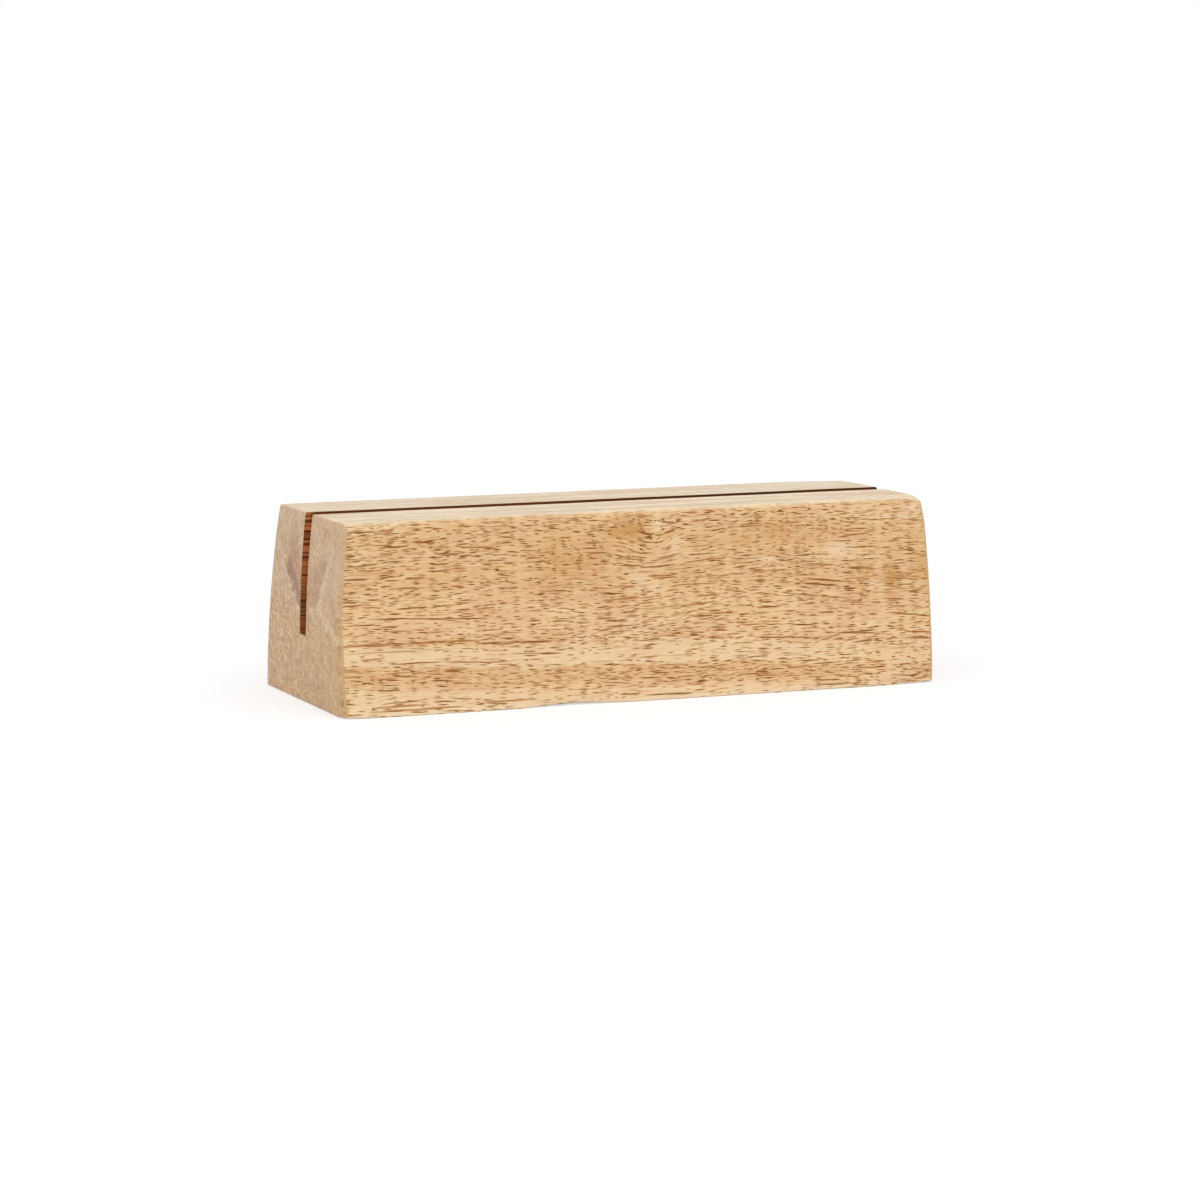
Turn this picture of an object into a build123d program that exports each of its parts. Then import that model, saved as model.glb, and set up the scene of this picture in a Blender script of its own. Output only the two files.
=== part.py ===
from build123d import *
import os

# A wooden block that holds a photograph or a card upright in a slot along its top.
# X runs along the slot, the front faces -Y and Z is up, all in millimetres.

# The outside of the block
base_length = 150.0
base_depth = 60.0
height = 44.5
# How far the top edge of each side stands in from its base edge
face_lean = 6.3
left_end_lean = 1.8
right_end_lean = 0.5
# Both ends bow out a little between base and top
end_crown_radius = 310.0
# Sanded edges: the top and the four corners are rounder than the base
upper_edge_radius = 2.0
base_edge_radius = 1.0

# The slot, a sawn groove that opens slightly towards its mouth
slot_floor_width = 4.4
slot_mouth_width = 5.2
slot_floor_height = 16.0
slot_mouth_bevel = 0.4

# How far cutting shapes reach past the wood that they cut
cut_overrun = 10.0


def outer_form():
    # The section across the block: a flat base and top between two leaning faces
    half_base = base_depth / 2
    half_top = half_base - face_lean
    section = make_face(
        Polyline((-half_base, 0), (half_base, 0), (half_top, height), (-half_top, height), close=True)
    )
    # The outline seen from the front: the two ends lean in and bow out
    base_left = (-base_length / 2, 0)
    base_right = (base_length / 2, 0)
    top_left = (-base_length / 2 + left_end_lean, height)
    top_right = (base_length / 2 - right_end_lean, height)
    outline = make_face(
        [
            Line(base_left, base_right),
            RadiusArc(base_right, top_right, -end_crown_radius),
            Line(top_right, top_left),
            RadiusArc(top_left, base_left, -end_crown_radius),
        ]
    )
    form = extrude(Plane.YZ * section, base_length, both=True)
    form &= extrude(Plane.XZ * outline, base_depth, both=True)
    # The leaning ends leave the box off centre, so it is centred along X
    form = Pos(X=-form.bounding_box().center().X) * form
    base_edges = form.faces().sort_by(Axis.Z)[0].edges()
    upper_edges = [edge for edge in form.edges() if edge not in base_edges]
    form = fillet(upper_edges, upper_edge_radius)
    base_edges = form.faces().sort_by(Axis.Z)[0].edges()
    return fillet(base_edges, base_edge_radius)


def slot_space():
    # The walls open towards the mouth, where a small bevel at 45 degrees eases both edges
    half_floor = slot_floor_width / 2
    half_mouth = slot_mouth_width / 2
    bevel_start = height - slot_mouth_bevel
    cut_top = height + cut_overrun
    half_cut = half_mouth + slot_mouth_bevel + cut_overrun
    section = make_face(
        Polyline(
            (-half_floor, slot_floor_height),
            (half_floor, slot_floor_height),
            (half_mouth, bevel_start),
            (half_cut, cut_top),
            (-half_cut, cut_top),
            (-half_mouth, bevel_start),
            close=True,
        )
    )
    return extrude(Plane.YZ * section, base_length, both=True)


def core_space():
    # The strip of wood below the slot, as wide as the slot's floor
    strip_height = slot_floor_height + cut_overrun
    strip = Box(2 * base_length, slot_floor_width, strip_height, align=(Align.CENTER, Align.CENTER, Align.MAX))
    return Pos(Z=slot_floor_height) * strip


block = outer_form()
core = core_space()
front_board, back_board = (block - slot_space() - core).solids().sort_by(Axis.Y)

pieces = {
    "front_board": front_board,
    "back_board": back_board,
    "core_strip": block & core,
}

os.makedirs("parts", exist_ok=True)
for name, piece in pieces.items():
    export_step(piece, f"parts/{name}.step")
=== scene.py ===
import math

import bmesh
import bpy
from mathutils import Matrix, Vector, noise


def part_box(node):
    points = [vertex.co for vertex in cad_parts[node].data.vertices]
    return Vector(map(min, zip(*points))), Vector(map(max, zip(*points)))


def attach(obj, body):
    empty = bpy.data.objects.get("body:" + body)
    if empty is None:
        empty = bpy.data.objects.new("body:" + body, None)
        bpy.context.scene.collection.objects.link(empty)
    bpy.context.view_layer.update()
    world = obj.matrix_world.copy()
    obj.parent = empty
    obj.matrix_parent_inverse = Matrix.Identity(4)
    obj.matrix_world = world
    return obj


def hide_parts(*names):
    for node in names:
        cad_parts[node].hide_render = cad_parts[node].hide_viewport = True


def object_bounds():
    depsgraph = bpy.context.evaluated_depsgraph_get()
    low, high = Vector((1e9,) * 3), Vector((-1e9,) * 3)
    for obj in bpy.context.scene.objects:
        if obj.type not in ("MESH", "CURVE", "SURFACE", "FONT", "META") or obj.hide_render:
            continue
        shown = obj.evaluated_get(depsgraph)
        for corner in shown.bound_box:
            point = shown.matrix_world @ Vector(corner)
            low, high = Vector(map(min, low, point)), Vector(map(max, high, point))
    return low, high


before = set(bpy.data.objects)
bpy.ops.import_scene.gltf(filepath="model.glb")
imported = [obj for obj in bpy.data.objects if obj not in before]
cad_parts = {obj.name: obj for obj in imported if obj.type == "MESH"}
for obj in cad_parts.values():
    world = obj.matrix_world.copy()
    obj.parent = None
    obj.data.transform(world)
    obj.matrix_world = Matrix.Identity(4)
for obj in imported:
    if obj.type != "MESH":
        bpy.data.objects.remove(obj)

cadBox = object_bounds()
scene = bpy.context.scene
mm = 0.001
samePoint = 1e-6                  # metres: points closer than this are merged
nearPoint = 1e-5                  # metres: a point this close to a level lies on it
sharpAngle = math.radians(40)     # steeper edges are shaded sharp
screenGamma = 2.2                 # turns a screen colour into a linear one
print("frame loaded:", sorted(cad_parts))


# small helpers for the node trees

def tone(red, green, blue):
    # a colour as the eye sees it on a screen, 0 to 255: tones are mixed like this and made linear at the end
    return (red / 255.0, green / 255.0, blue / 255.0, 1.0)


def put(tree, kind, plugs=None, **options):
    # adds a node, sets its options, then links or fills its inputs
    item = tree.nodes.new(kind)
    for name, value in options.items():
        setattr(item, name, value)
    for key, value in (plugs or {}).items():
        if isinstance(value, bpy.types.NodeSocket):
            tree.links.new(value, item.inputs[key])
        else:
            item.inputs[key].default_value = value
    return item


def calc(tree, operation, *terms, clamp=False):
    result = put(tree, "ShaderNodeMath", dict(enumerate(terms)), operation=operation, use_clamp=clamp)
    return result.outputs[0]


def times(tree, *terms):
    total = terms[0]
    for term in terms[1:]:
        total = calc(tree, "MULTIPLY", total, term)
    return total


def nudge(tree, value, pattern, most):
    # moves a value by a pattern that runs from 0 to 1, half of most to either side
    return calc(tree, "MULTIPLY_ADD", calc(tree, "SUBTRACT", pattern, 0.5), most, value)


def splitAxes(tree, vector):
    return put(tree, "ShaderNodeSeparateXYZ", {0: vector}).outputs


def joinAxes(tree, x, y, z):
    return put(tree, "ShaderNodeCombineXYZ", {0: x, 1: y, 2: z}).outputs[0]


def splitTone(tree, colour):
    return put(tree, "ShaderNodeSeparateColor", {0: colour}).outputs


def fade(tree, value, low, high, toLow=0.0, toHigh=1.0):
    plugs = {"Value": value, "From Min": low, "From Max": high, "To Min": toLow, "To Max": toHigh}
    return put(tree, "ShaderNodeMapRange", plugs, interpolation_type="SMOOTHSTEP").outputs[0]


def layerMask(tree, value, low, high, soft):
    return times(tree, fade(tree, value, low - soft, low + soft), fade(tree, value, high + soft, high - soft))


def mixColour(tree, amount, under, over):
    plugs = {0: amount, 6: under, 7: over}
    return put(tree, "ShaderNodeMix", plugs, data_type="RGBA", blend_type="MIX").outputs[2]


def cloudNoise(tree, place, lengths, detail=2.0, rough=0.5):
    # a soft pattern with patches about lengths long, in millimetres along X, Y and Z: value, then colour
    each = tuple(1.0 / length for length in lengths)
    space = put(tree, "ShaderNodeVectorMath", {0: place, 1: each}, operation="MULTIPLY").outputs[0]
    plugs = {"Vector": space, "Scale": 1.0, "Detail": detail, "Roughness": rough}
    return put(tree, "ShaderNodeTexNoise", plugs).outputs


# the block

blockSpec = {
    "baseLength": 150.0 * mm,
    "baseDepth": 59.8 * mm,
    "faceLean": 6.2 * mm,         # how far the top edges stand in from the base, front and back
    "leftLean": 1.8 * mm,         # and at the two ends
    "rightLean": 0.1 * mm,
    "leftCrown": 310.0 * mm,      # the ends bow out a little
    "rightCrown": 400.0 * mm,
    "frontTopRound": 1.5 * mm,    # edges round the top
    "backTopRound": 1.0 * mm,
    "leftTopRound": 0.4 * mm,
    "rightTopRound": 0.45 * mm,
    "frontLeftRound": 1.5 * mm,   # upright corners
    "backLeftRound": 1.3 * mm,
    "rightRound": 1.3 * mm,
    "baseRound": 0.45 * mm,
    "roundSegments": 6,
    "slotMouth": 5.2 * mm,
    "slotEase": 0.05 * mm,
    "slotEaseSegments": 2,
    "gridStep": 2.5 * mm,
    "cornerStep": 0.9 * mm,       # finer next to the ends and the top, for worn corners
    "cornerCuts": 7,
    "sandingDepth": 0.08 * mm,    # soft unevenness left by hand sanding
    "sandingLength": 22.0 * mm,
    "edgeWear": 0.10 * mm,        # rounded edges are sanded a little unevenly
    "edgeWearLength": 9.0 * mm,
    "edgeFacing": 0.985,          # a normal that leans further than this from every axis is on an edge
    "edgeFacingFade": 0.15,
    # corners rubbed away: which one, how deep along, across and up, and how far round it
    "wornCorners": [
        ((1, -1, 1), Vector((0.28, 0.20, 0.85)) * mm, 6.5 * mm),
        ((1, 1, 1), Vector((0.15, 0.32, 0.32)) * mm, 17.0 * mm),
        ((-1, 1, 1), Vector((0.09, 0.09, 0.09)) * mm, 6.0 * mm),
        ((-1, -1, 1), Vector((1.0, 0.3, 0.4)) * mm, 24.0 * mm),
        ((-1, -1, -1), Vector((0.35, 0.35, 0.35)) * mm, 6.0 * mm),
    ],
    # rubbed stretches of the front base edge: middle along X, reach along and up, how deep
    "wornBase": [(-19.0 * mm, 15.0 * mm, 4.0 * mm, 0.6 * mm), (75.0 * mm, 15.0 * mm, 4.0 * mm, 0.4 * mm)],
}


def edgeRadius(edge, spec, height):
    start, end = (vert.co for vert in edge.verts)
    middle = (start + end) / 2
    onLeft = middle.x < 0
    inFront = middle.y < 0
    if middle.z < samePoint:
        return spec["baseRound"]
    if abs(start.z - end.z) > height / 2:
        leftRound = spec["frontLeftRound"] if inFront else spec["backLeftRound"]
        return leftRound if onLeft else spec["rightRound"]
    if abs(start.x - end.x) > spec["baseLength"] / 2:
        return spec["frontTopRound"] if inFront else spec["backTopRound"]
    return spec["leftTopRound"] if onLeft else spec["rightTopRound"]


def roundedBlock(spec, height):
    # a cube drawn out to the block's section, then every edge rounded to its own radius
    bm = bmesh.new()
    bmesh.ops.create_cube(bm, size=1.0)
    bmesh.ops.scale(bm, vec=(spec["baseLength"], spec["baseDepth"], height), verts=bm.verts)
    bmesh.ops.translate(bm, vec=(0, 0, height / 2), verts=bm.verts)
    topVerts = [vert for vert in bm.verts if vert.co.z > height / 2]
    bmesh.ops.scale(bm, vec=(1, 1 - 2 * spec["faceLean"] / spec["baseDepth"], 1), verts=topVerts)
    weight = bm.edges.layers.float.new("bevel_weight_edge")
    widest = max(edgeRadius(edge, spec, height) for edge in bm.edges)
    for edge in bm.edges:
        edge[weight] = edgeRadius(edge, spec, height) / widest
    mesh = bpy.data.meshes.new("sharpBlock")
    bm.to_mesh(mesh)
    bm.free()
    sharp = bpy.data.objects.new("sharpBlock", mesh)
    scene.collection.objects.link(sharp)
    rounding = sharp.modifiers.new("rounding", "BEVEL")
    rounding.limit_method = "WEIGHT"
    rounding.width = widest
    rounding.segments = spec["roundSegments"]
    rounding.profile = 0.5
    bm = bmesh.new()
    bm.from_object(sharp, bpy.context.evaluated_depsgraph_get())
    bpy.data.objects.remove(sharp)
    bpy.data.meshes.remove(mesh)
    return bm


def cutPlane(bm, point, normal):
    geometry = bm.verts[:] + bm.edges[:] + bm.faces[:]
    bmesh.ops.bisect_plane(bm, geom=geometry, dist=samePoint, plane_co=point, plane_no=normal)


def sawSlot(bm, spec, height, floorHeight, floorWidth):
    # two leaning walls and a flat floor, cut right through from end to end
    flare = (spec["slotMouth"] - floorWidth) / 2
    for side in (-1, 1):
        foot = Vector((0, side * floorWidth / 2, floorHeight))
        rise = Vector((0, side * flare, height - floorHeight))
        cutPlane(bm, foot, Vector((0, rise.z, -rise.y)).normalized())
    cutPlane(bm, (0, 0, floorHeight), (0, 0, 1))
    inside = []
    for face in bm.faces:
        middle = face.calc_center_median()
        wallAt = floorWidth / 2 + flare * (middle.z - floorHeight) / (height - floorHeight)
        if middle.z > floorHeight + nearPoint and abs(middle.y) < wallAt - nearPoint:
            inside.append(face)
    bmesh.ops.delete(bm, geom=inside, context="FACES")
    # the cut leaves a rim at both ends and along the top: walls and floor are filled in from it
    rim = [edge for edge in bm.edges if edge.is_boundary]
    corners = [vert for vert in bm.verts if vert.is_boundary and abs(vert.co.z - floorHeight) < nearPoint]
    floorEdges = [edge for edge in rim if all(vert in corners for vert in edge.verts)]
    wallEdges = []
    for side in (-1, 1):
        ends = [vert for vert in corners if vert.co.y * side > floorWidth / 2 - nearPoint]
        floorLine = bm.edges.new(ends)
        upright = [edge for edge in rim if edge not in floorEdges]
        wall = [edge for edge in upright if all(vert.co.y * side > nearPoint for vert in edge.verts)]
        bmesh.ops.contextual_create(bm, geom=wall + [floorLine])
        floorEdges.append(floorLine)
        wallEdges += wall
    bmesh.ops.contextual_create(bm, geom=floorEdges)
    bmesh.ops.bevel(bm, geom=wallEdges, offset=spec["slotEase"], offset_type="OFFSET",
                    segments=spec["slotEaseSegments"], profile=0.5, affect="EDGES", material=-1,
                    clamp_overlap=True)


def cutGrid(bm, spec, height):
    # an even grid over every face, so that the sanding has something to move
    halfSizes = (spec["baseLength"] / 2, spec["baseDepth"] / 2, height)
    for axis, half in enumerate(halfSizes):
        low = 0.0 if axis == 2 else -half
        count = round((half - low) / spec["gridStep"])
        for index in range(1, count):
            point = Vector((0, 0, 0))
            point[axis] = low + (half - low) * index / count
            normal = Vector((0, 0, 0))
            normal[axis] = 1
            cutPlane(bm, point, normal)
    for index in range(spec["cornerCuts"]):
        inward = (index + 1) * spec["cornerStep"]
        cutPlane(bm, (halfSizes[0] - inward, 0, 0), (1, 0, 0))
        cutPlane(bm, (inward - halfSizes[0], 0, 0), (1, 0, 0))
        cutPlane(bm, (0, 0, height - inward), (0, 0, 1))
    bmesh.ops.remove_doubles(bm, verts=bm.verts, dist=samePoint)
    bmesh.ops.recalc_face_normals(bm, faces=bm.faces)


def arcOffset(level, height, lean, radius):
    # how far an end stands out from its base edge at a level: an arc from base edge to top edge
    chord = math.hypot(lean, height)
    along = Vector((-lean, height)) / chord
    outward = Vector((along.y, -along.x))
    middle = Vector((-lean / 2, height / 2))
    centre = middle - outward * math.sqrt(radius ** 2 - (chord / 2) ** 2)
    return centre.x + math.sqrt(radius ** 2 - (level - centre.y) ** 2)


def bowEnds(bm, spec, height):
    # lean and bow of the two ends, spread evenly along the block
    def leftAt(level):
        return arcOffset(level, height, spec["leftLean"], spec["leftCrown"])

    def rightAt(level):
        return arcOffset(level, height, spec["rightLean"], spec["rightCrown"])

    levels = [step * mm for step in range(math.ceil(height / mm))]
    middle = (max(map(rightAt, levels)) - max(map(leftAt, levels))) / 2
    half = spec["baseLength"] / 2
    for vert in bm.verts:
        share = (vert.co.x + half) / (2 * half)
        vert.co.x += share * rightAt(vert.co.z) - (1 - share) * leftAt(vert.co.z) - middle


def smoothStep(share):
    share = min(max(share, 0.0), 1.0)
    return share * share * (3 - 2 * share)


def unevenness(place, length):
    # soft noise from 0 to 1
    return 0.5 + 0.5 * noise.noise(place / length)


def sandBlock(bm, spec, height):
    # hand sanding and wear: always inwards, so the block never grows past its solid
    bm.normal_update()
    halfLength = spec["baseLength"] / 2
    moves = {}
    for vert in bm.verts:
        facing = max(abs(part) for part in vert.normal)
        edgeShare = smoothStep((spec["edgeFacing"] - facing) / spec["edgeFacingFade"])
        depth = spec["sandingDepth"] * unevenness(vert.co, spec["sandingLength"])
        depth += spec["edgeWear"] * edgeShare * unevenness(vert.co, spec["edgeWearLength"])
        moves[vert] = -vert.normal * depth
        if vert.co.z < nearPoint:    # the underside stays flat
            moves[vert] = Vector((0, 0, 0))
        for (along, across, up), deep, reach in spec["wornCorners"]:
            side = spec["baseDepth"] / 2 - (spec["faceLean"] if up > 0 else 0)
            corner = Vector((along * halfLength, across * side, height if up > 0 else 0))
            near = smoothStep(1 - (vert.co - corner).length / reach)
            moves[vert] -= Vector((along, across, up)) * deep * near
        for middle, wide, high, deep in spec["wornBase"]:
            near = smoothStep(1 - abs(vert.co.x - middle) / wide)
            near *= smoothStep(1 - math.hypot(vert.co.y + spec["baseDepth"] / 2, vert.co.z) / high)
            moves[vert] += Vector((0, 1, 1)) * deep * near
    for vert, move in moves.items():
        vert.co += move


def buildBlock(spec):
    height = cadBox[1][2]
    floorLow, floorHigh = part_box("core_strip")
    bm = roundedBlock(spec, height)
    sawSlot(bm, spec, height, floorHigh.z, floorHigh.y - floorLow.y)
    cutGrid(bm, spec, height)
    bowEnds(bm, spec, height)
    sandBlock(bm, spec, height)
    return bm


def meshPiece(name, bm, material):
    mesh = bpy.data.meshes.new(name)
    bm.to_mesh(mesh)
    bm.free()
    mesh.shade_smooth()
    mesh.set_sharp_from_angle(angle=sharpAngle)
    mesh.materials.append(material)
    piece = bpy.data.objects.new(name, mesh)
    scene.collection.objects.link(piece)
    return piece


# the wood, in millimetres

woodSpec = {
    # a fade is given as its start and end, then its strength at the start and at the end
    "cream": tone(247, 222, 182),
    "palePink": tone(248, 218, 196),
    "ground": tone(236, 196, 144),
    "pinkGround": tone(237, 192, 150),
    "tan": tone(220, 173, 117),
    "brown": tone(190, 137, 80),
    "cloud": tone(194, 136, 72),
    "pore": tone(114, 64, 8),
    "redPore": tone(166, 88, 38),
    # painted light along the foot, against the shade under the base rounding
    "paintedBaseLight": tone(250, 232, 204),
    # the four top tones below are a painted sheen, paler than the wood itself
    "topSheenFront": tone(252, 237, 206),
    "topSheenBack": tone(231, 218, 196),
    "topSheenCool": tone(226, 222, 192),
    "topSheenStreak": tone(206, 177, 136),
    "frontDepth": (-10.0, -20.0),              # the figure seen on the front fades out between these depths
    # how the grain runs
    "fall": 0.035,                             # it falls a little from left to right
    "rightRise": (20.0, 80.0, 0.0, 1.2),       # and less so at the right
    "driftLengths": (55.0, 22.0, 18.0),
    "driftUp": 4.0,
    "driftAcross": 5.0,
    "wiggleLengths": (12.0, 4.0, 3.0),
    "wiggleUp": 0.8,
    "dip": (3.0, 36.0, 10.0, 8.5),             # it sags below the small knot
    "dipDepth": 1.7,
    "swayFall": -0.03,                         # single fibres against the layers
    "swayLeft": (-22.0, 2.0, 0.0, 0.7),
    "swayRight": (12.0, 42.0, 0.0, -0.9),
    # softly edged places on the front: centre along and up, reach along and up, strength
    "dotted": [
        (-18, 35, 17, 12, 1.0), (37, 38, 22, 10, 1.0), (-3, 40, 13, 7, 0.8), (-60, 8, 22, 4, 0.5),
        (66, 7, 12, 5, 0.6), (57, 25, 3, 8, 1.0),
    ],
    "lined": [
        (5, 32, 13, 5, 1.0), (55, 30, 20, 6, 0.7), (-62, 22, 14, 5, 0.7), (40, 18, 14, 5, 0.6),
        (-66, 13, 14, 7, 1.0), (-48, 11.5, 20, 3.5, 1.0),
    ],
    "clouds": [
        (-3, 40.0, 10, 5, 0.6), (37, 39, 19, 6, 0.32), (57, 25, 2.2, 8, 0.38), (64.6, 25.5, 4.0, 8, 0.65),
        (-19, 33, 14, 10, 0.38), (73, 27, 3.5, 7, 0.4), (-6, 24, 6, 1.2, 0.45), (-68, 8, 8, 3, 0.2),
    ],
    "paleSpots": [
        (4.6, 41.4, 1.7, 3.0, 0.75), (60.3, 24.5, 2.6, 2.4, 0.3), (51, 33, 9, 4, 0.6),
        (43, 9.5, 7, 1.8, 0.7), (0, 29, 5, 2, 0.5), (1, 26.5, 8, 3, 0.5), (58, 15, 7, 1.5, 0.5),
        (33, 31.6, 9, 1.2, 0.5), (71, 41.5, 4, 2, 0.6), (9, 36, 4, 3, 0.4), (60, 2.5, 16, 3, 0.4),
        (6, 32, 10, 4.5, 0.3),
    ],
    "knotSpot": (2.7, 38.0, 1.0, 1.2),
    "raggedLengths": (3.5, 5.0, 1.2),          # their outlines are ragged
    "raggedAlong": 5.0,
    "raggedUp": 3.0,
    # the same kinds of place away from the front, where they come by chance
    "chanceLengths": (34.0, 13.0, 9.0),
    "cloudChance": (0.54, 0.72, 0.0, 0.4),
    "paleChance": (0.46, 0.28, 0.0, 0.45),
    "dottedChance": (0.54, 0.70),
    "linedChance": (0.44, 0.58),
    # level layers on the front: low, high and how soft
    "paleBand": (9.0, 13.8, 0.9),
    "lowBand": (4.9, 9.0, 0.8),
    "tanLayer": (26.0, 42.5, 3.0),
    "paleFoot": (4.6, 2.8),
    "layerRagged": 0.7,
    "tailOff": (65.0, 35.0, 0.45, 1.0),        # they tail off to the right
    "paleLayerShare": 0.47,
    "lowBandShare": 0.45,
    "tanLayerShare": 0.42,
    # patterns of tone: the length of a patch along X, Y and Z, then where each tone comes in
    "bandLengths": (140.0, 5.0, 5.0),
    "toneLengths": (16.0, 8.0, 5.0),
    "streakLengths": (7.0, 0.6, 0.6),
    "fibreLengths": (5.0, 0.30, 0.30),
    "sheenLengths": (60.0, 4.0, 4.0),
    "sheenDetail": 3.0,
    "fibreRough": 0.6,
    "pinkFade": (0.42, 0.62),
    "tanFade": (0.45, 0.75, 0.0, 0.5),
    "creamBands": (0.52, 0.75, 0.0, 0.4),
    "brownStreaks": (0.52, 0.78, 0.0, 0.42),
    "creamStreaks": (0.47, 0.27, 0.0, 0.45),
    "brownFibres": (0.52, 0.76, 0.0, 0.30),
    "creamFibres": (0.48, 0.29, 0.0, 0.52),
    "paintedBaseLightFade": (1.6, 0.3, 0.0, 0.5),
    # the top, painted paler: a painted sheen
    "topFacing": (0.55, 0.97),
    "topSheenShare": 0.6,
    "topSides": (-3.0, 3.0),
    "coolFade": (0.45, 0.58, 0.0, 0.6),
    "sheenFade": (0.46, 0.62),
    # kinds of pore, from dots to long dashes: length and width of a cell, least and most radius in it,
    # share of cells that hold a pore, and how that changes in dotted and in lined places
    "poreKinds": [
        {"cell": (2.0, 0.46), "radius": (0.255, 0.41), "share": 0.09, "dotted": 0.55, "lined": -0.09},
        {"cell": (3.3, 0.44), "radius": (0.245, 0.42), "share": 0.66, "dotted": -0.20, "lined": -0.25},
        {"cell": (5.8, 0.52), "radius": (0.215, 0.39), "share": 0.52, "dotted": -0.28, "lined": 0.14},
        {"cell": (13.0, 0.70), "radius": (0.18, 0.315), "share": 0.42, "dotted": -0.32, "lined": 0.32},
    ],
    "girthLimit": 23.7,                        # half the depth of the top, where the faces turn down
    "girthPace": 1.37,                         # how fast the girth grows across the top
    "backShift": 200.0,                        # sets the back's pores apart from the front's
    "crowdFade": (0.30, 0.70, 0.65, 1.35),     # pores crowd in some bands
    "fewerInPale": 0.75,
    "moreInLowBand": 0.3,
    "fainterInPale": 0.3,
    "fainterInClouds": 0.35,
    "fainterUnderTopSheen": 0.65,
    "fibrousFade": (0.30, 0.50, 0.65, 1.0),
    "redFade": (0.60, 0.95, 0.0, 0.7),
    # long pores on the front: start along and up, end along and up, thickness, strength, redness
    "longPores": [
        (-71, 42.3, -64.5, 42.2, 0.45, 0.8, 0.0), (-66, 41.8, -60, 41.7, 0.45, 0.9, 0.0),
        (-64, 38.7, -57, 38.7, 0.45, 0.8, 0.0), (-56, 39.3, -51, 39.5, 0.6, 0.9, 0.6),
        (-53.5, 38.1, -47, 38.0, 0.42, 0.8, 0.0), (-44, 37.8, -35.5, 37.5, 0.4, 0.7, 0.0),
        (-74, 34.2, -64, 35.1, 0.42, 0.8, 0.4), (-52.5, 34.2, -47, 34.4, 0.42, 0.8, 0.6),
        (-53, 32.6, -48, 32.7, 0.45, 0.9, 0.0), (-75, 31.8, -67, 31.5, 0.42, 0.8, 0.0),
        (-59, 31.2, -53.5, 31.4, 0.42, 0.8, 0.4), (-61.5, 29.2, -54.5, 29.1, 0.45, 0.8, 0.0),
        (-74.5, 25.7, -68, 25.9, 0.5, 0.9, 0.8), (-61.5, 24.5, -53, 24.7, 0.4, 0.8, 0.3),
        (-69, 22.5, -53, 22.0, 0.42, 0.9, 0.2), (-56, 22.0, -38, 21.3, 0.40, 0.9, 0.2),
        (-72, 21.2, -66, 21.2, 0.45, 0.8, 0.5), (-76, 16.7, -58, 16.4, 0.75, 0.75, 0.8),
        (-60, 16.5, -41, 16.4, 0.70, 0.75, 0.7), (-42, 15.7, -35.5, 15.5, 0.55, 0.9, 0.4),
        (-36, 15.5, -22, 15.2, 0.65, 0.95, 0.6), (-76, 14.9, -45, 14.8, 0.30, 0.4, 0.0),
        (-71, 13.4, -65, 13.4, 0.45, 0.9, 0.0), (-64, 11.9, -50, 12.0, 0.42, 0.9, 0.2),
        (-51, 11.9, -33, 10.9, 0.42, 0.8, 0.2), (-35, 12.8, -20, 12.5, 0.36, 0.7, 0.6),
        (-63, 9.4, -58, 9.0, 0.45, 0.9, 0.0), (-50.5, 9.8, -46, 9.6, 0.5, 0.9, 0.6),
        (-65, 3.2, -55.5, 3.4, 0.45, 0.9, 0.5), (-49, 3.4, -43.5, 3.1, 0.45, 0.9, 0.3),
        (-69, 2.3, -53, 2.5, 0.55, 0.8, 0.9), (-68, 1.4, -45, 1.5, 0.6, 0.8, 0.9),
        (-41.5, 2.0, -29, 2.2, 0.42, 0.8, 0.7), (-7.5, 1.9, -1.5, 1.9, 0.45, 0.9, 0.0),
        (3, 1.4, 12, 1.2, 0.5, 0.95, 0.2), (-26, 26.8, -17, 26.5, 0.4, 0.8, 0.5),
        (-8, 27.0, -1.5, 26.6, 0.45, 0.8, 0.3), (-11, 23.8, 0, 24.2, 0.5, 0.65, 0.6),
        (8, 26.7, 19, 26.5, 0.38, 0.7, 0.2), (-3, 21.5, 16, 21.8, 0.36, 0.6, 0.0),
        (11, 19.2, 18, 19.0, 0.45, 0.9, 0.2), (17.5, 19.3, 23.5, 19.7, 0.42, 0.8, 0.2),
        (49, 37.7, 60, 37.7, 0.42, 0.8, 0.2), (52, 36.2, 60, 36.5, 0.6, 0.7, 0.0),
        (42, 32.3, 48.5, 32.1, 0.42, 0.8, 0.0), (42, 30.0, 50.5, 29.4, 0.42, 0.9, 0.2),
        (27, 29.2, 38.5, 28.6, 0.42, 0.8, 0.2), (42, 26.5, 56, 24.9, 0.55, 0.9, 0.2),
        (41.5, 25.4, 50.5, 24.5, 0.55, 0.9, 0.2), (36, 23.3, 46, 22.4, 0.42, 0.8, 0.7),
        (28.5, 20.4, 36, 20.3, 0.5, 0.95, 0.5), (44.5, 18.4, 49.5, 18.0, 0.45, 0.9, 0.0),
        (63.5, 17.4, 76, 15.9, 0.5, 0.9, 0.3), (27, 13.4, 43.5, 12.6, 0.4, 0.8, 0.5),
        (49, 13.3, 60, 12.8, 0.42, 0.9, 0.2), (67, 12.6, 76, 12.2, 0.5, 0.9, 0.8),
        (68, 11.1, 76, 10.7, 0.42, 0.8, 0.4), (42, 2.4, 50.5, 2.2, 0.45, 0.9, 0.2),
        (42, 1.3, 56, 1.1, 0.5, 0.8, 0.2),
        # the hook under the small knot, and the lines that sag below it
        (0.5, 37.0, 4.6, 36.7, 0.4, 0.8, 0.0), (3.9, 36.9, 5.6, 38.4, 0.36, 0.7, 0.0),
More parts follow.
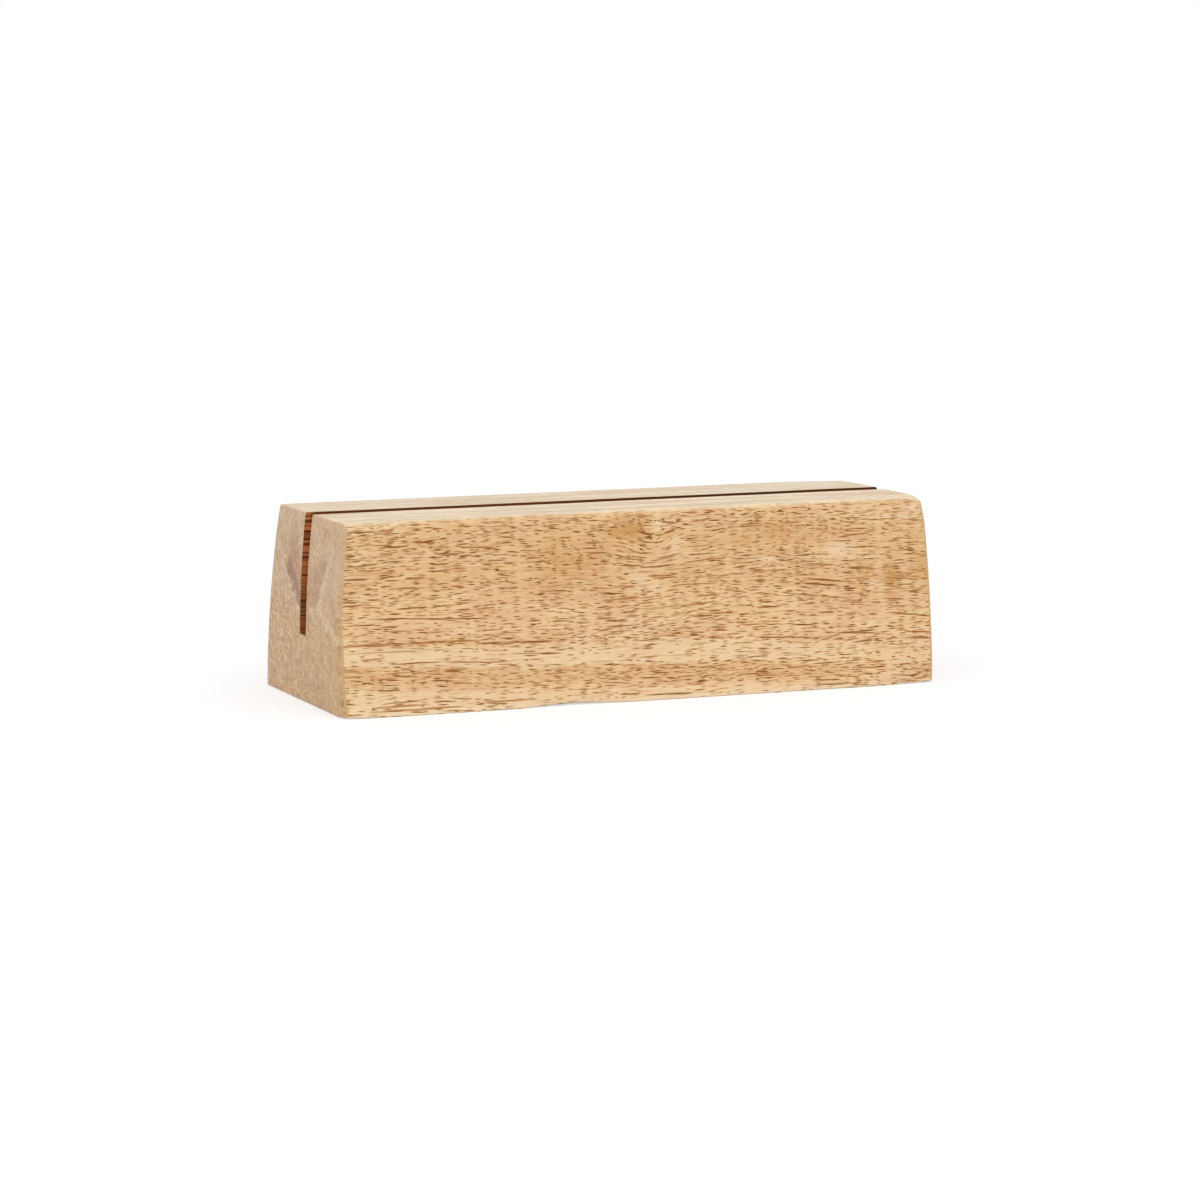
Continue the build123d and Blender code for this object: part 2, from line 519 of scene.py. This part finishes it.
        (5.0, 38.3, 9.5, 39.3, 0.34, 0.6, 0.0), (-6.5, 34.3, 0.5, 32.7, 0.42, 0.8, 0.2),
        (3.5, 33.1, 11, 33.9, 0.4, 0.8, 0.2), (-5, 32.1, 1, 31.4, 0.4, 0.8, 0.2),
        (1, 31.0, 9.5, 31.4, 0.42, 0.8, 0.3), (1.5, 29.0, 8.5, 29.0, 0.50, 1.0, 0.9),
        (2.5, 28.4, 8, 28.5, 0.45, 1.0, 0.9), (12.5, 33.3, 19.5, 33.7, 0.38, 0.7, 0.2),
        (12.5, 31.9, 22.5, 32.5, 0.38, 0.7, 0.2),
    ],
    "lineRagged": 0.13,                        # they waver a little, and streaks break them up
    "lineBreaks": (0.30, 0.55, 0.5, 1.0),
    # the sanded surface
    "roughFade": (0.3, 0.7, 0.30, 0.42),
    "bumpStrength": 0.35,
    "bumpDepth": 0.03 * mm,
    "refraction": 1.5,
    "gloss": 0.25,
}

poreSpec = {
    "pointedness": 1.4,         # below 2 a cell's round dot turns to a spindle
    "core": 0.60,               # share of its radius over which a pore is at full strength
    "strengthPower": 1.4,       # few pores are strong, many are faint
    "strengthRange": 0.75,
    "leastStrength": 0.28,
    "lineTaper": 4.0,           # the higher, the blunter the ends of a long pore
    "lineCore": 0.1,
}

endSpec = {
    "low": tone(220, 176, 121),      # below the slot's floor
    "high": tone(219, 184, 144),     # to either side of the slot
    "dull": tone(176, 134, 88),
    "stain": tone(159, 105, 68),
    "ray": tone(236, 207, 168),
    "speck": tone(130, 84, 54),
    "edge": tone(207, 168, 129),     # where an end turns round its corners
    "facing": (0.40, 0.56),          # how far a normal turns to the end before its tones take over
    "edgeFade": (0.95, 0.50, 0.0, 0.8),
    # the stain round the heart, as strokes across and up: start, end, reach, strength
    "stainStrokes": [
        (4.0, 25.0, 11.8, 31.5, 3.9, 0.95), (4.0, 29.0, 9.5, 35.5, 6.0, 0.5),
        (-4.0, 25.5, -9.5, 26.5, 3.6, 0.46), (-5.0, 28.0, -12.0, 31.5, 5.5, 0.32),
    ],
    "rayStrokes": [
        (-17.5, 37.0, -11.6, 23.5, 1.6, 0.8), (-11.0, 23.0, -26.5, 17.3, 1.6, 0.7),
        (-5.5, 22.4, -10.5, 23.2, 1.4, 0.5), (3.5, 21.6, 13.5, 28.4, 1.6, 0.6),
    ],
    "speckStrokes": [
        (12.2, 29.4, 12.5, 29.6, 1.1, 0.7), (8.4, 25.6, 8.9, 25.9, 1.2, 0.6),
        (4.0, 23.6, 5.0, 24.1, 1.1, 0.6),
    ],
    "strokeCore": 0.15,              # share of its reach over which a stroke is at full strength
    "slant": -0.4,                   # the mottle leans across the end
    "mottleLengths": (8.0, 1.15, 0.8),
    "mottleRough": 0.75,
    "blotchLengths": (12.0, 5.0, 4.0),
    "raggedLengths": (20.0, 2.6, 2.2),
    "raggedRough": 0.6,
    "raggedReach": 4.0,
    "fineDetail": 3.0,
    "lowToHigh": (16.0, 30.0),
    "blotchFade": (0.40, 0.75, 0.0, 0.45),
    "dullFade": (0.50, 0.66),
    "rayFade": (0.48, 0.32),
    # the mottle is weaker high up and to the front
    "mottleUp": (31.0, 21.0, 0.65, 1.1),
    "mottleAcross": (-22.0, 4.0, 0.65, 1.0),
    "pores": {"cell": (2.4, 1.2), "radius": (0.20, 0.45), "share": 0.65},
    "poreStrength": 0.3,
}

slotSpec = {
    "deep": tone(164, 98, 48),       # painted shade: darker low on the walls, and the floor
    "wall": tone(204, 124, 71),
    "mouth": tone(196, 122, 66),
    "line": tone(84, 38, 14),
    "shade": tone(112, 62, 26),      # painted shade along the upper edge
    "wallHalf": (16.0, 44.5, 2.2, 2.6),    # half the slot's width from floor to mouth
    "rimFade": (0.16, 0.05),
    "floorFade": (15.7, 15.9),
    "wallFade": (20.0, 34.0),
    "mouthFade": (40.5, 42.5, 0.0, 0.8),
    "shadeUp": (42.0, 43.5),
    "shadeAlong": (-73.0, -70.5),
    "scratchLengths": (70.0, 8.0, 0.40),
    "scratchFade": (0.47, 0.65, 0.0, 0.9),
    "waverLengths": (9.0, 9.0, 3.0),
    "waverUp": 0.7,
    # dark lines left by the saw: height, thickness, strength
    "lines": [
        (39.7, 0.55, 0.9), (38.0, 0.35, 0.7), (36.9, 0.40, 0.8), (33.9, 0.40, 0.9), (25.2, 0.3, 0.6),
        (23.4, 0.3, 0.5),
    ],
    "lineReach": 0.8,                # shares of the thickness at which a line ends and is at full strength
    "lineCore": 0.2,
    "roughness": 0.9,
}


def spot(tree, x, z, centreX, centreZ, reachX, reachZ, strength=1.0):
    # strength at the centre, falling softly to 0 at the reach
    along = calc(tree, "MULTIPLY_ADD", x, 1.0 / reachX, -centreX / reachX)
    up = calc(tree, "MULTIPLY_ADD", z, 1.0 / reachZ, -centreZ / reachZ)
    far = calc(tree, "MULTIPLY_ADD", along, along, calc(tree, "MULTIPLY", up, up))
    return fade(tree, calc(tree, "SQRT", far), 1.0, 0.0, 0.0, strength)


def gathered(tree, x, z, spots):
    # one mask from a list of softly edged places on the front
    total = spot(tree, x, z, *spots[0])
    for place in spots[1:]:
        total = calc(tree, "MAXIMUM", total, spot(tree, x, z, *place))
    return total


def grainSpace(tree, place, front, spec):
    # bends millimetre space so that straight lines in it run as the fibres do
    x, y, z = splitAxes(tree, place)
    drifts = splitTone(tree, cloudNoise(tree, place, spec["driftLengths"], detail=1.0)[1])
    wiggle = cloudNoise(tree, place, spec["wiggleLengths"], detail=1.0)[0]
    dip = times(tree, spot(tree, x, z, *spec["dip"]), front)
    bentZ = calc(tree, "MULTIPLY_ADD", x, spec["fall"], z)
    bentZ = calc(tree, "ADD", bentZ, fade(tree, x, *spec["rightRise"]))
    bentZ = nudge(tree, bentZ, drifts[1], spec["driftUp"])
    bentZ = nudge(tree, bentZ, wiggle, spec["wiggleUp"])
    bentZ = calc(tree, "MULTIPLY_ADD", dip, spec["dipDepth"], bentZ)
    bentY = nudge(tree, y, drifts[2], spec["driftAcross"])
    return joinAxes(tree, x, bentY, bentZ)


def poreDashes(tree, along, aside, kind, share):
    # stretched cells on the face, a share of which hold one spindle-shaped pore of its own size and strength
    length, width = kind["cell"]
    least, most = kind["radius"]
    cellAlong = calc(tree, "MULTIPLY", along, 1.0 / length)
    cellAside = calc(tree, "MULTIPLY", aside, 1.0 / width)
    cellSpace = joinAxes(tree, cellAlong, cellAside, 0.0)
    plugs = {"Vector": cellSpace, "Scale": 1.0, "Exponent": poreSpec["pointedness"]}
    cells = put(tree, "ShaderNodeTexVoronoi", plugs, voronoi_dimensions="2D", distance="MINKOWSKI").outputs
    chance = splitTone(tree, cells["Color"])
    alive = calc(tree, "LESS_THAN", chance[0], share)
    radius = calc(tree, "MULTIPLY_ADD", chance[1], most - least, least)
    dash = fade(tree, cells["Distance"], radius, calc(tree, "MULTIPLY", radius, poreSpec["core"]))
    strength = calc(tree, "POWER", chance[2], poreSpec["strengthPower"])
    strength = calc(tree, "MULTIPLY_ADD", strength, poreSpec["strengthRange"], poreSpec["leastStrength"])
    return times(tree, dash, times(tree, alive, strength)), chance[1]


def longPore(tree, x, z, line):
    # one thin spindle from its start to its end
    startX, startZ, endX, endZ, thick, strength, red = line
    half = (endX - startX) / 2
    slope = (endZ - startZ) / (endX - startX)
    middle = (startX + endX) / 2
    height = (startZ + endZ) / 2
    along = calc(tree, "MULTIPLY_ADD", x, 1.0 / half, -middle / half)
    lift = calc(tree, "MULTIPLY_ADD", x, -2 * slope / thick, 2 * (slope * middle - height) / thick)
    aside = calc(tree, "MULTIPLY_ADD", z, 2.0 / thick, lift)
    ends = calc(tree, "POWER", calc(tree, "ABSOLUTE", along), poreSpec["lineTaper"])
    far = calc(tree, "MULTIPLY_ADD", aside, aside, ends)
    return fade(tree, far, 1.0, poreSpec["lineCore"], 0.0, strength)


def stroke(tree, across, up, line):
    # a soft stroke of even reach between two points of the end face
    startY, startZ, endY, endZ, reach, strength = line
    runY = endY - startY
    runZ = endZ - startZ
    square = runY ** 2 + runZ ** 2
    share = calc(tree, "MULTIPLY_ADD", across, runY / square, -(startY * runY + startZ * runZ) / square)
    share = calc(tree, "MULTIPLY_ADD", up, runZ / square, share, clamp=True)
    offY = calc(tree, "MULTIPLY_ADD", share, -runY, calc(tree, "SUBTRACT", across, startY))
    offZ = calc(tree, "MULTIPLY_ADD", share, -runZ, calc(tree, "SUBTRACT", up, startZ))
    far = calc(tree, "SQRT", calc(tree, "MULTIPLY_ADD", offY, offY, calc(tree, "MULTIPLY", offZ, offZ)))
    return fade(tree, far, reach, reach * endSpec["strokeCore"], 0.0, strength)


def strokes(tree, across, up, lines):
    total = stroke(tree, across, up, lines[0])
    for line in lines[1:]:
        total = calc(tree, "MAXIMUM", total, stroke(tree, across, up, line))
    return total


def endGrain(tree, place, spec):
    # the two ends: pores seen end on, and a dull stain round the heart to both sides of the slot
    x, y, z = splitAxes(tree, place)
    slanted = joinAxes(tree, x, y, calc(tree, "MULTIPLY_ADD", y, spec["slant"], z))
    fine = spec["fineDetail"]
    mottle = cloudNoise(tree, slanted, spec["mottleLengths"], detail=fine, rough=spec["mottleRough"])[0]
    blotch = cloudNoise(tree, place, spec["blotchLengths"])[0]
    ragged = cloudNoise(tree, place, spec["raggedLengths"], detail=fine, rough=spec["raggedRough"])[1]
    shift = splitTone(tree, ragged)
    across = nudge(tree, y, shift[0], spec["raggedReach"])
    up = nudge(tree, z, shift[1], spec["raggedReach"])
    colour = mixColour(tree, fade(tree, up, *spec["lowToHigh"]), spec["low"], spec["high"])
    colour = mixColour(tree, fade(tree, blotch, *spec["blotchFade"]), colour, spec["dull"])
    colour = mixColour(tree, strokes(tree, across, up, spec["stainStrokes"]), colour, spec["stain"])
    colour = mixColour(tree, strokes(tree, across, up, spec["rayStrokes"]), colour, spec["ray"])
    colour = mixColour(tree, strokes(tree, y, z, spec["speckStrokes"]), colour, spec["speck"])
    plain = times(tree, fade(tree, up, *spec["mottleUp"]), fade(tree, y, *spec["mottleAcross"]))
    colour = mixColour(tree, times(tree, fade(tree, mottle, *spec["dullFade"]), plain), colour, spec["dull"])
    pores = poreDashes(tree, across, up, spec["pores"], spec["pores"]["share"])[0]
    colour = mixColour(tree, times(tree, pores, plain, spec["poreStrength"]), colour, spec["speck"])
    return mixColour(tree, times(tree, fade(tree, mottle, *spec["rayFade"]), plain), colour, spec["ray"])


def slotColour(tree, place, spec):
    # the walls and floor of the slot, darkened by the saw, with painted shade low down and along the upper
    # edge
    axes = splitAxes(tree, place)
    scratches = cloudNoise(tree, place, spec["scratchLengths"])[0]
    waver = cloudNoise(tree, place, spec["waverLengths"], detail=1.0)[0]
    level = nudge(tree, axes[2], waver, spec["waverUp"])
    # painted shade: the walls darken from the mouth down to the floor
    colour = mixColour(tree, fade(tree, level, *spec["wallFade"]), spec["deep"], spec["wall"])
    colour = mixColour(tree, fade(tree, level, *spec["mouthFade"]), colour, spec["mouth"])
    # painted shade along the upper edge, left off at the left end
    shade = times(tree, fade(tree, axes[2], *spec["shadeUp"]), fade(tree, axes[0], *spec["shadeAlong"]))
    colour = mixColour(tree, shade, colour, spec["shade"])
    colour = mixColour(tree, fade(tree, scratches, *spec["scratchFade"]), colour, spec["line"])
    for height, thick, strength in spec["lines"]:
        off = calc(tree, "ABSOLUTE", calc(tree, "SUBTRACT", level, height))
        line = fade(tree, off, thick * spec["lineReach"], thick * spec["lineCore"], 0.0, strength)
        colour = mixColour(tree, line, colour, spec["line"])
    return colour


def woodMaterial(spec):
    material = bpy.data.materials.new("sandedWood")
    material.use_nodes = True
    tree = material.node_tree
    tree.nodes.clear()
    coords = put(tree, "ShaderNodeTexCoord").outputs
    plugs = {0: coords["Object"], "Scale": 1.0 / mm}
    place = put(tree, "ShaderNodeVectorMath", plugs, operation="SCALE").outputs[0]
    facing = splitAxes(tree, coords["Normal"])
    endFacing = calc(tree, "ABSOLUTE", facing[0])
    front = fade(tree, splitAxes(tree, place)[1], *spec["frontDepth"])
    grain = grainSpace(tree, place, front, spec)
    x, y, z = splitAxes(tree, place)
    endMask = fade(tree, endFacing, *endSpec["facing"])
    grainX, grainY, grainZ = splitAxes(tree, grain)
    # single fibres sway a little against the layers
    sway = calc(tree, "MULTIPLY_ADD", x, spec["swayFall"], fade(tree, x, *spec["swayLeft"]))
    sway = calc(tree, "ADD", sway, fade(tree, x, *spec["swayRight"]))
    fibreZ = calc(tree, "ADD", grainZ, sway)
    fibreSpace = joinAxes(tree, grainX, grainY, fibreZ)

    # ragged millimetre space for the listed spots, so that none has a clean outline
    shift = splitTone(tree, cloudNoise(tree, place, spec["raggedLengths"])[1])
    raggedX = nudge(tree, x, shift[0], spec["raggedAlong"])
    raggedZ = nudge(tree, z, shift[1], spec["raggedUp"])
    dotted, lined, clouds, paleSpots = [
        times(tree, gathered(tree, raggedX, raggedZ, spec[name]), front)
        for name in ("dotted", "lined", "clouds", "paleSpots")
    ]

    # away from the front such places come by chance
    elsewhere = calc(tree, "SUBTRACT", 1.0, front)
    chance = cloudNoise(tree, place, spec["chanceLengths"])
    chances = splitTone(tree, chance[1])

    def orByChance(mask, pattern, reach):
        return calc(tree, "MAXIMUM", mask, times(tree, fade(tree, pattern, *reach), elsewhere))

    clouds = orByChance(clouds, chance[0], spec["cloudChance"])
    paleSpots = orByChance(paleSpots, chance[0], spec["paleChance"])
    dotted = orByChance(dotted, chances[1], spec["dottedChance"])
    lined = orByChance(lined, chances[2], spec["linedChance"])

    # level layers on the front
    raggedness = calc(tree, "SUBTRACT", raggedZ, z)
    layer = calc(tree, "MULTIPLY_ADD", raggedness, spec["layerRagged"], grainZ)
    tailing = times(tree, front, fade(tree, x, *spec["tailOff"]))
    paleBand = times(tree, layerMask(tree, layer, *spec["paleBand"]), tailing)
    paleFoot = times(tree, fade(tree, layer, *spec["paleFoot"]), front)
    lowBand = times(tree, layerMask(tree, layer, *spec["lowBand"]), tailing)
    paleLayers = times(tree, calc(tree, "MAXIMUM", paleBand, paleFoot), spec["paleLayerShare"])
    pale = calc(tree, "MAXIMUM", paleSpots, paleLayers)

    # slow changes of tone along the grain, then streaks and fine fibres
    bands = cloudNoise(tree, grain, spec["bandLengths"])[0]
    tones = cloudNoise(tree, place, spec["toneLengths"])
    pinks = splitTone(tree, tones[1])[0]
    streaks = cloudNoise(tree, fibreSpace, spec["streakLengths"], rough=spec["fibreRough"])[0]
    fibres = cloudNoise(tree, fibreSpace, spec["fibreLengths"], rough=spec["fibreRough"])[0]
    colour = mixColour(tree, fade(tree, pinks, *spec["pinkFade"]), spec["ground"], spec["pinkGround"])
    colour = mixColour(tree, fade(tree, tones[0], *spec["tanFade"]), colour, spec["tan"])
    tanLayer = layerMask(tree, grainZ, *spec["tanLayer"])
    colour = mixColour(tree, tanLayer, colour, mixColour(tree, spec["tanLayerShare"], colour, spec["tan"]))
    colour = mixColour(tree, fade(tree, bands, *spec["creamBands"]), colour, spec["cream"])
    colour = mixColour(tree, times(tree, lowBand, spec["lowBandShare"]), colour, spec["tan"])
    colour = mixColour(tree, clouds, colour, spec["cloud"])
    paleTone = mixColour(tree, paleSpots, spec["cream"], spec["palePink"])
    colour = mixColour(tree, pale, colour, paleTone)
    colour = mixColour(tree, fade(tree, streaks, *spec["brownStreaks"]), colour, spec["brown"])
    colour = mixColour(tree, fade(tree, streaks, *spec["creamStreaks"]), colour, spec["cream"])
    colour = mixColour(tree, fade(tree, fibres, *spec["brownFibres"]), colour, spec["brown"])
    colour = mixColour(tree, fade(tree, fibres, *spec["creamFibres"]), colour, spec["cream"])
    # painted light: the lowest 1.6 mm of the wood is painted paler, against the shade under the base
    colour = mixColour(tree, fade(tree, z, *spec["paintedBaseLightFade"]), colour, spec["paintedBaseLight"])

    # painted sheen: the top is painted paler than the wood below it, with long soft streaks
    sheen = cloudNoise(tree, place, spec["sheenLengths"], spec["sheenDetail"], spec["fibreRough"])[0]
    paintedTopSheen = mixColour(tree, fade(tree, y, *spec["topSides"]), spec["topSheenFront"], spec["topSheenBack"])
    paintedTopSheen = mixColour(tree, fade(tree, pinks, *spec["coolFade"]), paintedTopSheen, spec["topSheenCool"])
    paintedTopSheen = mixColour(tree, fade(tree, sheen, *spec["sheenFade"]), paintedTopSheen, spec["topSheenStreak"])
    topSheenAmount = fade(tree, facing[2], *spec["topFacing"], 0.0, spec["topSheenShare"])
    colour = mixColour(tree, topSheenAmount, colour, paintedTopSheen)

    # pores: short dots where the fibres dive into the face, long dashes where they run along it
    # laid out along the grain and round the block's girth, so that front, top and back all get whole ones
    depth = calc(tree, "MINIMUM", calc(tree, "ABSOLUTE", y), spec["girthLimit"])
    girth = calc(tree, "MULTIPLY_ADD", depth, -spec["girthPace"], fibreZ)
    girth = calc(tree, "MULTIPLY_ADD", calc(tree, "GREATER_THAN", y, 0.0), spec["backShift"], girth)
    crowd = fade(tree, bands, *spec["crowdFade"])
    fewer = calc(tree, "MULTIPLY_ADD", lowBand, spec["moreInLowBand"], 1.0)
    fewer = times(tree, calc(tree, "MULTIPLY_ADD", pale, -spec["fewerInPale"], fewer), crowd)
    shares = []
    for kind in spec["poreKinds"]:
        share = calc(tree, "MULTIPLY_ADD", dotted, kind["dotted"], kind["share"])
        share = calc(tree, "MULTIPLY_ADD", lined, kind["lined"], share)
        shares.append(times(tree, share, fewer))
    dashes = [poreDashes(tree, grainX, girth, kind, share) for kind, share in zip(spec["poreKinds"], shares)]
    dotPores, shortPores, middlePores, longPores = [dash for dash, chance in dashes]
    middleChance = dashes[2][1]
    pores = calc(tree, "MAXIMUM", calc(tree, "MAXIMUM", dotPores, shortPores),
                 calc(tree, "MAXIMUM", middlePores, longPores))
    redness = fade(tree, middleChance, *spec["redFade"])
    lineZ = calc(tree, "MULTIPLY_ADD", calc(tree, "SUBTRACT", raggedZ, z), spec["lineRagged"], z)
    broken = times(tree, front, fade(tree, streaks, *spec["lineBreaks"]))
    for line in spec["longPores"]:
        mask = times(tree, longPore(tree, x, lineZ, line), broken)
        pores = calc(tree, "MAXIMUM", pores, mask)
        red = line[-1]
        if red > 0:
            redness = calc(tree, "MAXIMUM", redness, calc(tree, "MULTIPLY", mask, red))
    knot = times(tree, spot(tree, raggedX, raggedZ, *spec["knotSpot"]), front)
    pores = calc(tree, "MAXIMUM", pores, knot)
    # the pores are fibrous too, and fainter in pale or clouded places; on the top they are faded under the
    # painted sheen
    topMask = fade(tree, facing[2], *spec["topFacing"])
    fainter = calc(tree, "MULTIPLY_ADD", clouds, -spec["fainterInClouds"], 1.0)
    fainter = calc(tree, "MULTIPLY_ADD", pale, -spec["fainterInPale"], fainter)
    fainter = times(tree, fainter, calc(tree, "MULTIPLY_ADD", topMask, -spec["fainterUnderTopSheen"], 1.0))
    pores = times(tree, pores, fade(tree, fibres, *spec["fibrousFade"]), fainter)
    poreColour = mixColour(tree, redness, spec["pore"], spec["redPore"])
    colour = mixColour(tree, pores, colour, poreColour)

    # the two ends
    endColour = endGrain(tree, place, endSpec)
    endColour = mixColour(tree, fade(tree, endFacing, *endSpec["edgeFade"]), endColour, endSpec["edge"])
    colour = mixColour(tree, endMask, colour, endColour)

    # inside the slot, up to its sharp upper edge
    wallAt = fade(tree, z, *slotSpec["wallHalf"])
    past = calc(tree, "SUBTRACT", calc(tree, "ABSOLUTE", y), wallAt)
    betweenWalls = fade(tree, past, *slotSpec["rimFade"])
    aboveFloor = fade(tree, z, *slotSpec["floorFade"])
    inSlot = times(tree, betweenWalls, aboveFloor, calc(tree, "SUBTRACT", 1.0, endMask))
    colour = mixColour(tree, inSlot, colour, slotColour(tree, place, slotSpec))

    roughness = fade(tree, fibres, *spec["roughFade"])
    roughness = calc(tree, "MAXIMUM", roughness, times(tree, inSlot, slotSpec["roughness"]))
    plugs = {"Strength": spec["bumpStrength"], "Distance": spec["bumpDepth"], "Height": fibres}
    bump = put(tree, "ShaderNodeBump", plugs).outputs[0]
    linear = put(tree, "ShaderNodeGamma", {"Color": colour, "Gamma": screenGamma}).outputs[0]
    shader = put(tree, "ShaderNodeBsdfPrincipled", {
        "Base Color": linear,
        "Roughness": roughness,
        "Normal": bump,
        "IOR": spec["refraction"],
        "Specular IOR Level": spec["gloss"],
    })
    out = put(tree, "ShaderNodeOutputMaterial", {"Surface": shader.outputs[0]})
    out.is_active_output = True
    return material


block = meshPiece("woodenBlock", buildBlock(blockSpec), woodMaterial(woodSpec))
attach(block, "root")
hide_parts("front_board", "back_board", "core_strip")
print("block:", len(block.data.vertices), "points,", len(block.data.polygons), "faces")


# floor, light and camera

studioSpec = {
    "floorSize": 60.0,
    "floorShade": (0.80, 0.80, 0.80, 1.0),
    "floorSeen": (0.48, 0.48, 0.48, 1.0),   # what the camera sees of it, with the glow added
    "floorGlow": 0.58,
    "skyTone": (1, 1, 1, 1),
    "skyLight": 0.66,                       # on the block
    "skySeen": 1.0,                         # behind it: white
    "sunFrom": (-0.15, -0.80, 1.0),
    "sunSpread": math.radians(70),
    "sunPower": 1.1,
}


def seenRays(tree):
    # 1 for a ray that shows the studio itself, 0 for one that lights the block
    rays = put(tree, "ShaderNodeLightPath").outputs
    mirrored = calc(tree, "MAXIMUM", rays["Is Glossy Ray"], rays["Is Transmission Ray"])
    return calc(tree, "MAXIMUM", rays["Is Camera Ray"], mirrored)


def floorMaterial(spec):
    material = bpy.data.materials.new("paleFloor")
    material.use_nodes = True
    tree = material.node_tree
    tree.nodes.clear()
    seen = seenRays(tree)
    shadeColour = mixColour(tree, seen, spec["floorShade"], spec["floorSeen"])
    shade = put(tree, "ShaderNodeBsdfDiffuse", {"Color": shadeColour}).outputs[0]
    strength = calc(tree, "MULTIPLY", seen, spec["floorGlow"])
    glow = put(tree, "ShaderNodeEmission", {"Strength": strength}).outputs[0]
    both = put(tree, "ShaderNodeAddShader", {0: shade, 1: glow}).outputs[0]
    put(tree, "ShaderNodeOutputMaterial", {"Surface": both})
    return material


def buildStudio(spec):
    bm = bmesh.new()
    bmesh.ops.create_grid(bm, x_segments=1, y_segments=1, size=spec["floorSize"] / 2)
    floor = meshPiece("paleFloor", bm, floorMaterial(spec))
    world = bpy.data.worlds.new("softSky")
    world.use_nodes = True
    tree = world.node_tree
    tree.nodes.clear()
    level = fade(tree, seenRays(tree), 0.0, 1.0, spec["skyLight"], spec["skySeen"])
    sky = put(tree, "ShaderNodeBackground", {"Color": spec["skyTone"], "Strength": level}).outputs[0]
    put(tree, "ShaderNodeOutputWorld", {"Surface": sky})
    scene.world = world
    lamp = bpy.data.lights.new("softSun", "SUN")
    lamp.energy = spec["sunPower"]
    lamp.angle = spec["sunSpread"]
    sun = bpy.data.objects.new("softSun", lamp)
    sun.rotation_euler = (-Vector(spec["sunFrom"])).to_track_quat("-Z", "Y").to_euler()
    scene.collection.objects.link(sun)


cameraSpec = {
    "place": Vector((-369.47, -924.81, 150.36)) * mm,
    "aim": Vector((-0.22, 0.0, 20.35)) * mm,
    "roll": math.radians(-0.15),
    "lens": 125.06,
    "sensor": 36.0,
    "nearest": 0.05,
}


def buildCamera(spec):
    data = bpy.data.cameras.new("photoCamera")
    data.lens = spec["lens"]
    data.sensor_width = spec["sensor"]
    data.clip_start = spec["nearest"]
    camera = bpy.data.objects.new("photoCamera", data)
    turn = (spec["aim"] - spec["place"]).to_track_quat("-Z", "Y").to_matrix()
    turn = turn @ Matrix.Rotation(spec["roll"], 3, "Z")
    camera.matrix_world = Matrix.Translation(spec["place"]) @ turn.to_4x4()
    scene.collection.objects.link(camera)
    scene.camera = camera


buildStudio(studioSpec)
buildCamera(cameraSpec)
scene.view_settings.view_transform = "Standard"
print("studio and camera ready")
